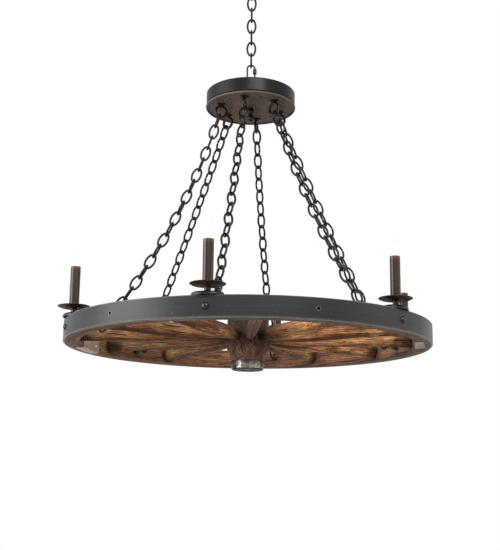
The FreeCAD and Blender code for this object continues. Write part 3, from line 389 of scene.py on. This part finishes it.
def scratched(tree, place, scale):
    return placed(tree, SCRATCHES, Place=place, Scale=scale)["Lines"]


def facing_up(tree):
    """1 where a surface looks straight up, and -1 where it looks down."""
    return axes(tree, tree.nodes.new("ShaderNodeNewGeometry").outputs["Normal"])[2]


def only_spoke(tree, number, wanted):
    """1 on one spoke and 0 on all the others."""
    turn = times(tree, minus(tree, number, wanted), SPOKE_STEP)
    return between(tree, maths(tree, "COSINE", turn), 0.9, 1.0)


# ---- finishes ----------------------------------------------------------------------------------

def finish(name):
    """A material with its shader, and the place on the lamp that its pattern reads."""
    made = bpy.data.materials.new(name)
    tree = cleared(made)
    out = tree.nodes.new("ShaderNodeOutputMaterial")
    shader = tree.nodes.new("ShaderNodeBsdfPrincipled")
    tree.links.new(shader.outputs[0], out.inputs["Surface"])
    place = tree.nodes.new("ShaderNodeTexCoord").outputs["Object"]
    return made, tree, shader.inputs, place


def surface(tree, shader, colour, roughness, gloss=PLAIN_GLOSS, metallic=0.0):
    plug(tree, colour, shader["Base Color"])
    plug(tree, roughness, shader["Roughness"])
    shader["Specular IOR Level"].default_value = gloss
    shader["Metallic"].default_value = metallic


def raised(tree, shader, height, distance):
    """Lets a height, times a distance in metres, show as relief."""
    bump = tree.nodes.new("ShaderNodeBump")
    bump.inputs["Distance"].default_value = distance
    plug(tree, height, bump.inputs["Height"])
    tree.links.new(bump.outputs[0], shader["Normal"])


def metal(name, body, worn, dusty, size, rough, wear=0.0012, metallic=0.0, skin=0.00006,
          gloss=PLAIN_GLOSS, right_side=None):
    """Blackened or painted metal: its own colour, rubbed edges, and dust in slow stains and specks.
    What lies on the lamp's right side can be turned towards another colour."""
    made, tree, shader, place = finish(name)
    dirt = grime_on(tree, place, size)
    rubbed = rubbed_edges(tree, place, wear, breakup=0.25)
    colour = layered(tree, body,
                     (dirt["Stains"], 0.55, dusty),
                     (dirt["Specks"], 0.35, worn),
                     (scratched(tree, place, scale=22.0), 0.35, worn),
                     (rubbed, 1.0, worn))
    if right_side:
        on_the_right = between(tree, axes(tree, place)[0], -0.1, 0.1)
        share = times_plus(tree, dirt["Stains"], 0.2, 0.68)
        colour = layered(tree, colour, (on_the_right, share, right_side))
    dull = times_plus(tree, dirt["Stains"], 0.16, rough - 0.08)
    dull = minus(tree, dull, times(tree, rubbed, 0.12), clamp=True)
    surface(tree, shader, colour, dull, gloss, metallic)
    raised(tree, shader, times_plus(tree, dirt["Stains"], 1.5, dirt["Skin"]), skin)
    return made


def painted_tube(name, body, warm):
    """Smooth satin paint on a drawn tube, with faint streaks along it and a painted glow of the
    bulb at its top."""
    made, tree, shader, place = finish(name)
    dirt = grime_on(tree, place, size=0.03)
    streaks = cloud(tree, stretched(tree, place, (420.0, 420.0, 5.0)), roughness=0.6)
    colour = toned(tree, streaks, 0.35, 0.65, body, warm)
    colour = layered(tree, colour, (dirt["Specks"], 0.25, shade(98, 84, 70)))
    surface(tree, shader, colour, times_plus(tree, streaks, 0.1, 0.2), gloss=0.29)
    # The top of the sleeve gives off light of its own: a painted glow of the bulb.
    lit = between(tree, axes(tree, place)[2], sleeve_top_z - GLOW_DEPTH, sleeve_top_z)
    plug(tree, tint(tree, times(tree, lit, lit), UNLIT, GLOW_COLOUR), shader["Emission Color"])
    shader["Emission Strength"].default_value = GLOW_STRENGTH
    raised(tree, shader, streaks, 0.00003)
    return made


def pan_paint():
    """The pan's satin paint, with the painted shade of the groove over the paler rolled lip, and
    rubbed edges.
    """
    made, tree, shader, place = finish("pan paint")
    dirt = grime_on(tree, place, size=0.05)
    rubbed = rubbed_edges(tree, place, width=0.0018, breakup=0.2)
    height = axes(tree, place)[2]
    # The groove over the lip is not drawn: its shade is painted as a dark line, with a dent in the
    # bump.
    groove_shade = fading(tree, away_from(tree, height, LIP_GROOVE_Z), *GROOVE_SHADE_HALF)
    lip = fading(tree, height, *(LIP_GROOVE_Z - below for below in LIP_TOP))
    colour = tint(tree, dirt["Stains"], shade(19, 15, 11), shade(27, 22, 18))
    colour = layered(tree, colour,
                     (lip, 0.8, shade(96, 92, 86)),
                     (dirt["Specks"], 0.2, shade(104, 92, 78)),
                     (rubbed, 0.25, shade(92, 82, 70)),
                     (groove_shade, 1.0, shade(6, 5, 4)))
    dull = times_plus(tree, dirt["Stains"], 0.08, 0.36)
    surface(tree, shader, colour, times_plus(tree, groove_shade, 0.5, dull, clamp=True), gloss=0.15)
    raised(tree, shader, minus(tree, dirt["Skin"], times(tree, groove_shade, 9.0)), 0.00008)
    return made


def tyre_iron():
    """Rolled iron under a satin charcoal finish, with faint lines along the rolling and a few
    chips."""
    made, tree, shader, place = finish("tyre iron")
    rim = placed(tree, WHEEL_PLACES, Place=place)["Rim grain"]
    dirt = grime_on(tree, place, size=0.09)
    # The pale edge lines are partly wear and partly a painted highlight on the rounded edges.
    rubbed = rubbed_edges(tree, place, width=0.0048, breakup=0.06)
    rolled = cloud(tree, stretched(tree, rim, (1.2, 30.0, 190.0)), detail=4.0, roughness=0.6)
    patches = cloud(tree, stretched(tree, rim, (5.0, 30.0, 14.0)))
    flakes = cloud(tree, stretched(tree, rim, (55.0, 55.0, 130.0)), detail=2.0)
    colour = toned(tree, rolled, 0.3, 0.7, shade(29, 30, 31), shade(40, 41, 42))
    colour = layered(tree, colour,
                     (between(tree, patches, 0.35, 0.75), 0.4, shade(46, 46, 45)),
                     (dirt["Specks"], 0.2, shade(84, 80, 75)),
                     (between(tree, flakes, 0.73, 0.77), 0.6, shade(118, 114, 108)),
                     # partly wear, partly a painted highlight on the rounded edges
                     (rubbed, 0.62, shade(146, 148, 148)))
    dull = times_plus(tree, rolled, 0.08, 0.33)
    surface(tree, shader, colour, times_plus(tree, dirt["Stains"], 0.06, dull), gloss=0.26)
    raised(tree, shader, plus(tree, rolled, times(tree, patches, 2.0)), 0.00012)
    return made


def rim_wood():
    """Bent felloes: red-brown and full of pores towards the hub, greyer above and below."""
    made, tree, shader, place = finish("rim wood")
    rim = placed(tree, WHEEL_PLACES, Place=place)["Rim grain"]
    grain = placed(tree, WOOD_GRAIN, Grain=rim, Heart=(0.0, -0.42, 0.09), Ring_width=0.006,
                   Waviness=0.014, Cracking=0.3)
    dirt = grime_on(tree, place, size=0.06)
    rubbed = rubbed_edges(tree, place, width=0.003, breakup=0.2)
    fresh = toned(tree, grain["Tone"], 0.3, 0.7, shade(110, 76, 56), shade(182, 136, 104))
    grey = toned(tree, grain["Tone"], 0.3, 0.7, shade(88, 68, 54), shade(146, 122, 102))
    level = between(tree, maths(tree, "ABSOLUTE", facing_up(tree)), 0.3, 0.8)
    colour = layered(tree, tint(tree, level, fresh, grey),
                     (fading(tree, grain["Fibres"], 0.38, 0.6), 0.55, shade(44, 26, 17)),
                     (grain["Rings"], 0.45, shade(52, 31, 21)),
                     (dirt["Stains"], 0.35, shade(60, 40, 29)),
                     (grain["Pores"], 0.75, shade(28, 16, 11)),
                     (scratched(tree, place, scale=14.0), 0.6, shade(34, 20, 14)),
                     (rubbed, 0.45, shade(182, 136, 98)),
                     (grain["Cracks"], 0.9, shade(22, 13, 9)),
                     # painted shade, with some dirt, in the hollows where pieces meet
                     (painted_hollow_shade(tree, place, reach=0.045), 0.7, shade(30, 17, 11)))
    surface(tree, shader, colour, times_plus(tree, grain["Fibres"], 0.25, 0.5), gloss=0.06)
    raised(tree, shader, grain["Height"], 0.0014)
    return made


def spoke_greying_and_side_shade(tree, number):
    """How grey a spoke is: a little by chance and most on the first spoke; the extra grey on one
    side of the wheel is painted shade."""
    chance = maths(tree, "COSINE", times(tree, number, 2.4))
    greyed = times_plus(tree, chance, 0.1, 0.2)
    # The sine round the wheel greys the spokes on one side of it: painted shade.
    side = times_plus(tree, number, SPOKE_STEP, math.radians(210))
    greyed = times_plus(tree, maths(tree, "SINE", side), 0.45, greyed)
    return times_plus(tree, only_spoke(tree, number, 0.0), 0.68, greyed, clamp=True)


def spokes_shaded_at_hub(tree, number):
    """1 on four spokes that get painted shadow and dirt at the hub, two on each side, and 0 on the
    others.
    """
    side = maths(tree, "ABSOLUTE", maths(tree, "SINE", times(tree, number, SPOKE_STEP)))
    off = times(tree, away_from(tree, side, 0.5), 4.0)
    return minus(tree, 1.0, off, clamp=True)


def spoke_wood():
    """Oiled spokes, each its own piece of wood, made nearly black where they enter the hub and the
    rim by dirt and painted shade."""
    made, tree, shader, place = finish("spoke wood")
    wheel = placed(tree, WHEEL_PLACES, Place=place)
    number = wheel["Spoke"]
    grain = placed(tree, WOOD_GRAIN, Grain=wheel["Spoke grain"], Heart=(0.0, 0.03, 0.05),
                   Ring_width=0.0055, Waviness=0.02, Cracking=0.5)
    dirt = grime_on(tree, wheel["Spoke grain"], size=0.05)
    rubbed = rubbed_edges(tree, place, width=0.004, breakup=0.3)
    radius = times_plus(tree, dirt["Stains"], 0.03, from_axis(tree, place))
    # Dirt and painted shade at both ends of each spoke.
    rim_end_dirt_and_shade = between(tree, radius, *SPOKE_MEETS_RIM)
    hub_end_dirt_and_shade = times(tree, fading(tree, radius, *SPOKE_LEAVES_HUB),
                   times_plus(tree, spokes_shaded_at_hub(tree, number), 0.62, 0.35))
    # Painted shadow and dirt on spoke 1 next to the hub.
    spoke_one_dirt_and_shade = times(tree, only_spoke(tree, number, 1.0),
                       fading(tree, radius, *SPOKE_ONE_SHADE_FADE))
    colour = toned(tree, grain["Tone"], 0.36, 0.62, shade(126, 75, 44), shade(255, 189, 131))
    colour = layered(tree, colour,
                     # grey by chance and on the first spoke, with painted shade on one side of the
                     # wheel
                     (spoke_greying_and_side_shade(tree, number), 1.0, shade(76, 59, 48)),
                     # painted shadow and dirt on spoke 1 next to the hub
                     (spoke_one_dirt_and_shade, 0.85, shade(60, 38, 25)),
                     (fading(tree, grain["Fibres"], 0.38, 0.6), 0.52, shade(46, 25, 14)),
                     (grain["Rings"], 0.42, shade(60, 32, 17)),
                     (dirt["Stains"], 0.5, shade(62, 37, 23)),
                     (grain["Pores"], 0.75, shade(26, 15, 10)),
                     (grain["Knots"], 0.75, shade(36, 19, 11)),
                     (grain["Cracks"], 0.92, shade(20, 12, 8)),
                     # dirt and painted shade where the spokes enter the rim and the hub
                     (rim_end_dirt_and_shade, 0.85, shade(34, 20, 13)),
                     (hub_end_dirt_and_shade, 1.0, shade(22, 14, 10)),
                     # painted shade, with some dirt, in the hollows where pieces meet
                     (painted_hollow_shade(tree, place, reach=0.06), 0.85, shade(24, 13, 8)),
                     # painted shade on the spokes' undersides
                     (fading(tree, facing_up(tree), -0.95, -0.1), 0.4, shade(52, 32, 21)),
                     (rubbed, 0.3, shade(196, 150, 112)))
    surface(tree, shader, colour, times_plus(tree, grain["Fibres"], 0.25, 0.42), gloss=0.07)
    raised(tree, shader, grain["Height"], 0.0016)
    return made


def hub_wood():
    """Dark turned hub with upright grain: its growth rings come out as wavy lines on the tapers."""
    made, tree, shader, place = finish("hub wood")
    x, y, z = axes(tree, place)
    grain = placed(tree, WOOD_GRAIN, Grain=joined(tree, z, x, y), Heart=(0.0, -0.035, -0.022),
                   Ring_width=0.0031, Waviness=0.045, Cracking=0.4)
    dirt = grime_on(tree, place, size=0.04)
    rubbed = rubbed_edges(tree, place, width=0.004, breakup=0.25)
    from_middle = away_from(tree, z, wheel_centre.z)
    # The hub's middle, where the spokes enter, and its upper half get painted shade.
    shaded_upper_half = between(tree, z, wheel_centre.z, wheel_centre.z + 0.02)
    colour = toned(tree, grain["Tone"], 0.3, 0.7, shade(66, 44, 34), shade(170, 124, 98))
    colour = layered(tree, colour,
                     (fading(tree, grain["Fibres"], 0.36, 0.6), 0.5, shade(34, 20, 14)),
                     (grain["Rings"], 0.92, shade(22, 13, 9)),
                     (dirt["Stains"], 0.35, shade(46, 31, 24)),
                     (grain["Cracks"], 0.9, shade(14, 9, 6)),
                     # painted shade, with some dirt, in the hollows where pieces meet
                     (painted_hollow_shade(tree, place, reach=0.05), 0.7, shade(16, 10, 7)),
                     (rubbed, 0.3, shade(150, 114, 88)),
                     (between(tree, from_middle, *HUB_BAND_SEAT), 0.85, shade(20, 16, 13)),
                     # painted shade round the middle, where the spokes enter the hub
                     (fading(tree, from_middle, *HUB_SPOKE_ZONE), 0.62, shade(32, 22, 16)),
                     # painted shade on the hub's upper half, among the spokes
                     (shaded_upper_half, 0.6, shade(28, 19, 14)))
    surface(tree, shader, colour, times_plus(tree, grain["Fibres"], 0.3, 0.36), gloss=0.12)
    raised(tree, shader, grain["Height"], 0.002)
    return made


def dimmed(colour):
    """A colour that comes out as itself once the shader has multiplied it by the bulb's
    strength."""
    return (*(part / BULB_STRENGTH for part in colour), 1.0)


def lit_glass():
    """A burning flame bulb: white hot in its middle, a thin warm outline towards the tip and the
    cap."""
    made, tree, shader, place = finish("lit glass")
    above_cap = minus(tree, axes(tree, place)[2], bulb_low.z)
    share = maths(tree, "DIVIDE", above_cap, bulb_high.z - bulb_low.z)
    belly = times(tree, between(tree, share, 0.3, 0.42), fading(tree, share, 0.5, 0.68))
    haze = cloud(tree, place, scale=90.0, detail=2.0)
    outline = tree.nodes.new("ShaderNodeLayerWeight").outputs["Facing"]
    edge = between(tree, times_plus(tree, haze, 0.12, outline), 0.35, 0.8)
    edge = times(tree, edge, times_plus(tree, belly, -0.8, 1.0))
    seen = tint(tree, edge, dimmed(BULB_HEART), dimmed(BULB_OUTLINE))
    rays = tree.nodes.new("ShaderNodeLightPath").outputs
    plug(tree, tint(tree, rays["Is Camera Ray"], BULB_CAST, seen), shader["Emission Color"])
    shader["Emission Strength"].default_value = BULB_STRENGTH
    surface(tree, shader, (0.02, 0.018, 0.015, 1.0), times_plus(tree, haze, 0.1, 0.3), gloss=0.1)
    return made


def band_steel():
    """A hammered steel band: bright where it was rubbed, with black scale in patches, and dark
    along the edge that lies farthest from the wheel's middle."""
    made, tree, shader, place = finish("band steel")
    dirt = grime_on(tree, place, size=0.03)
    rubbed = rubbed_edges(tree, place, width=0.002, breakup=0.3)
    blots = cloud(tree, stretched(tree, place, (1.0, 1.0, 0.6)), scale=38.0, detail=2.0,
                  distortion=0.3)
    bright = between(tree, blots, 0.36, 0.6)
    crust = cloud(tree, offset(tree, place, (0.3, 0.1, 0.0)), scale=75.0, roughness=0.6)
    crust = between(tree, crust, 0.5, 0.62)
    hammered = cloud(tree, place, scale=60.0, detail=2.0)
    from_middle = away_from(tree, axes(tree, place)[2], wheel_centre.z)
    colour = tint(tree, bright, shade(56, 50, 45), shade(160, 152, 144))
    colour = layered(tree, colour,
                     (crust, 0.7, shade(34, 29, 26)),
                     (dirt["Specks"], 0.5, shade(30, 24, 20)),
                     # painted shade, with some dirt, in the hollows where pieces meet
                     (painted_hollow_shade(tree, place, reach=0.03), 0.9, shade(16, 12, 10)),
                     (fading(tree, from_middle, *BAND_FACE_END), 0.68, shade(46, 46, 48)),
                     (rubbed, 0.6, shade(206, 200, 194)))
    surface(tree, shader, colour, times_plus(tree, crust, 0.25, 0.2), metallic=1.0)
    raised(tree, shader, times_plus(tree, bright, 0.6, hammered), 0.0005)
    return made


def screw_cap():
    """Thin plated brass with the ridges of a lamp thread round it."""
    made, tree, shader, place = finish("screw cap")
    turns = times(tree, axes(tree, place)[2], 2 * math.pi / THREAD_PITCH)
    dirt = grime_on(tree, place, size=0.01)
    colour = tint(tree, dirt["Stains"], shade(196, 186, 160), shade(150, 132, 98))
    surface(tree, shader, colour, times_plus(tree, dirt["Stains"], 0.15, 0.22), metallic=1.0)
    raised(tree, shader, maths(tree, "SINE", turns), 0.0005)
    return made


def six(name):
    """The names of the pieces that each candle or chain has one of."""
    return ["%s_%d" % (name, i) for i in range(1, 7)]


# Each finish, and the nodes that have it.
FINISHES = (
    (tyre_iron(), ["tyre"]),
    (rim_wood(), ["felloe_left", "felloe_right"]),
    (spoke_wood(), ["spokes"]),
    (hub_wood(), ["hub"]),
    (lit_glass(), six("bulb_glass")),
    (screw_cap(), six("bulb_base")),
    (metal("plated steel", body=shade(150, 150, 148), worn=shade(200, 200, 196),
           dusty=shade(112, 108, 102), size=0.03, rough=0.34, metallic=0.9),
     ["crossbar", "hanger_nipple", "centre_rod", "candle_nipples", "clip_screws"]),
    (metal("dark bronze", body=shade(17, 14, 12), worn=shade(76, 56, 42),
           dusty=shade(34, 27, 22), size=0.025, rough=0.34, gloss=0.25),
     ["canopy_loop", "collar_ring", "pan_loop", "finial", "ring_bolts", "quick_link",
      "quick_link_nut", "base_plates"]),
    (metal("chain bronze", body=shade(14, 10, 8), worn=shade(96, 62, 42),
           dusty=shade(36, 24, 18), size=0.012, rough=0.36, wear=0.0014, skin=0.00012,
           gloss=0.18),
     ["top_link", "suspension_links"] + six("chain")),
    (pan_paint(), ["canopy", "pan_shell"]),
    (metal("plate paint", body=shade(84, 69, 57), worn=shade(120, 101, 84),
           dusty=shade(102, 85, 70), size=0.04, rough=0.5, gloss=0.09),
     ["pan_plate", "stiffening_ring"]),
    (metal("clip steel", body=shade(164, 142, 122), worn=shade(212, 196, 178),
           dusty=shade(112, 88, 68), size=0.02, rough=0.45, metallic=0.2, skin=0.00015,
           right_side=shade(82, 68, 57)),
     ["felloe_clips"]),
    (band_steel(), ["hub_bands"]),
    (painted_tube("sleeve paint", shade(29, 22, 17), shade(58, 42, 32)),
     six("sleeve") + ["stem_spacers"]),
    (metal("dish metal", body=shade(38, 30, 23), worn=shade(90, 70, 54),
           dusty=shade(58, 46, 36), size=0.03, rough=0.44, gloss=0.16),
     ["bobeches"]),
    (metal("bolt iron", body=shade(18, 17, 16), worn=shade(70, 64, 58),
           dusty=shade(30, 28, 26), size=0.01, rough=0.3, wear=0.0018, gloss=0.35),
     ["through_bolts", "eye_nuts", "hub_bolt", "hub_nut", "rod_nut", "ring_nuts",
      "plate_screws"]),
    (metal("black moulding", body=shade(28, 26, 25), worn=shade(60, 56, 52),
           dusty=shade(44, 41, 38), size=0.01, rough=0.45),
     ["sockets"]),
)
for made, members in FINISHES:
    for member in members:
        for slot in nodes[member].material_slots:
            slot.material = made


# ---- stage -------------------------------------------------------------------------------------

FLOOR_Z = -2.3
FLOOR_RADIUS = 6.0
FLOOR_SIDES = 96
FLOOR_GREY = (0.72, 0.72, 0.72, 1.0)
FLOOR_FADE = (0.9, 3.8)             # from the lamp's axis out to where the floor is gone
FLOOR_FADE_START = 0.3              # how much of it is gone right under the lamp


def seen_white(tree):
    """1 where the camera looks, straight or through a reflection or glass, and 0 for the light
    itself."""
    rays = tree.nodes.new("ShaderNodeLightPath").outputs
    bent = maths(tree, "MAXIMUM", rays["Is Glossy Ray"], rays["Is Transmission Ray"])
    return maths(tree, "MAXIMUM", rays["Is Camera Ray"], bent)


def mixed(tree, share, first, second):
    node = tree.nodes.new("ShaderNodeMixShader")
    plug(tree, share, node.inputs[0])
    tree.links.new(first.outputs[0], node.inputs[1])
    tree.links.new(second.outputs[0], node.inputs[2])
    return node


def floor_paint():
    """Pale grey that fades into the white of the room, and isn't there from below."""
    made = bpy.data.materials.new("pale floor")
    tree = cleared(made)
    out = tree.nodes.new("ShaderNodeOutputMaterial")
    paint = tree.nodes.new("ShaderNodeBsdfDiffuse")
    paint.inputs["Color"].default_value = FLOOR_GREY
    distance = from_axis(tree, tree.nodes.new("ShaderNodeTexCoord").outputs["Object"])
    faded = times(tree, between(tree, distance, *FLOOR_FADE, FLOOR_FADE_START), seen_white(tree))
    top = mixed(tree, faded, paint, tree.nodes.new("ShaderNodeEmission"))
    from_below = tree.nodes.new("ShaderNodeNewGeometry").outputs["Backfacing"]
    both = mixed(tree, from_below, top, tree.nodes.new("ShaderNodeBsdfTransparent"))
    tree.links.new(both.outputs[0], out.inputs["Surface"])
    return made


def studio_floor():
    shape = bmesh.new()
    bmesh.ops.create_circle(shape, cap_ends=True, radius=FLOOR_RADIUS, segments=FLOOR_SIDES)
    bmesh.ops.translate(shape, vec=(0, 0, FLOOR_Z), verts=shape.verts)
    mesh = bpy.data.meshes.new("studio_floor")
    shape.to_mesh(mesh)
    shape.free()
    mesh.materials.append(floor_paint())
    floor = bpy.data.objects.new("studio_floor", mesh)
    bpy.context.scene.collection.objects.link(floor)


def white_room():
    world = bpy.data.worlds.new("white room")
    bpy.context.scene.world = world
    tree = cleared(world)
    ground = tree.nodes.new("ShaderNodeBackground")
    ground.inputs["Color"].default_value = (1.0, 1.0, 1.0, 1.0)
    level = times_plus(tree, seen_white(tree), 1.0 - AMBIENT, AMBIENT)
    plug(tree, level, ground.inputs["Strength"])
    out = tree.nodes.new("ShaderNodeOutputWorld")
    tree.links.new(ground.outputs[0], out.inputs["Surface"])


def soft_box(name, place, aim, width, height, power, colour=(1.0, 1.0, 1.0)):
    data = bpy.data.lights.new(name, "AREA")
    data.shape = "RECTANGLE"
    data.size = width
    data.size_y = height
    data.energy = power
    data.color = colour
    lamp = bpy.data.objects.new(name, data)
    lamp.location = place
    lamp.rotation_euler = (Vector(aim) - Vector(place)).to_track_quat("-Z", "Y").to_euler()
    lamp.visible_camera = False
    bpy.context.scene.collection.objects.link(lamp)


CAMERA_PITCH = math.radians(12.058)
CAMERA_ROLL = math.radians(0.654)
CAMERA_LENS = 65.38                 # in millimetres, on a sensor of this width
CAMERA_SENSOR = 36.0
CAMERA_STANDS = Vector((0.003685, -2.7659, -0.4108))    # from the wheel's middle


def camera_on_the_wheel():
    """Well below the wheel in front of it, looking up a little, with a slight roll."""
    ahead = Vector((0, math.cos(CAMERA_PITCH), math.sin(CAMERA_PITCH)))
    level = Vector((1, 0, 0))
    over = Vector((0, -math.sin(CAMERA_PITCH), math.cos(CAMERA_PITCH)))
    right = level * math.cos(CAMERA_ROLL) + over * math.sin(CAMERA_ROLL)
    up = over * math.cos(CAMERA_ROLL) - level * math.sin(CAMERA_ROLL)
    data = bpy.data.cameras.new("camera")
    data.lens = CAMERA_LENS
    data.sensor_width = CAMERA_SENSOR
    camera = bpy.data.objects.new("camera", data)
    turn = Matrix((right, up, -ahead)).transposed().to_4x4()
    camera.matrix_world = Matrix.Translation(wheel_centre + CAMERA_STANDS) @ turn
    bpy.context.scene.collection.objects.link(camera)
    bpy.context.scene.camera = camera


studio_floor()
white_room()
soft_box("left softbox", place=(-2.3, -0.95, -0.5), aim=(0, 0, -0.8),
         width=1.75, height=2.2, power=80)
soft_box("front softbox", place=(0.7, -2.3, 0.6), aim=(0, 0, -1.1),
         width=1.4, height=1.0, power=64)
soft_box("overhead softbox", place=(0.1, 0.6, 0.9), aim=(0, 0, -1.1),
         width=1.6, height=1.6, power=22)
soft_box("floor softbox", place=(-0.4, -1.0, -2.15), aim=(0, 0.2, -1.1),
         width=1.4, height=1.0, power=3.5, colour=(1.0, 0.9, 0.78))
soft_box("right bounce", place=(2.2, -0.7, -0.9), aim=(0, 0, -1.0),
         width=1.4, height=1.2, power=6.5, colour=(1.0, 0.8, 0.64))
camera_on_the_wheel()

scene = bpy.context.scene
scene.view_settings.view_transform = "Standard"
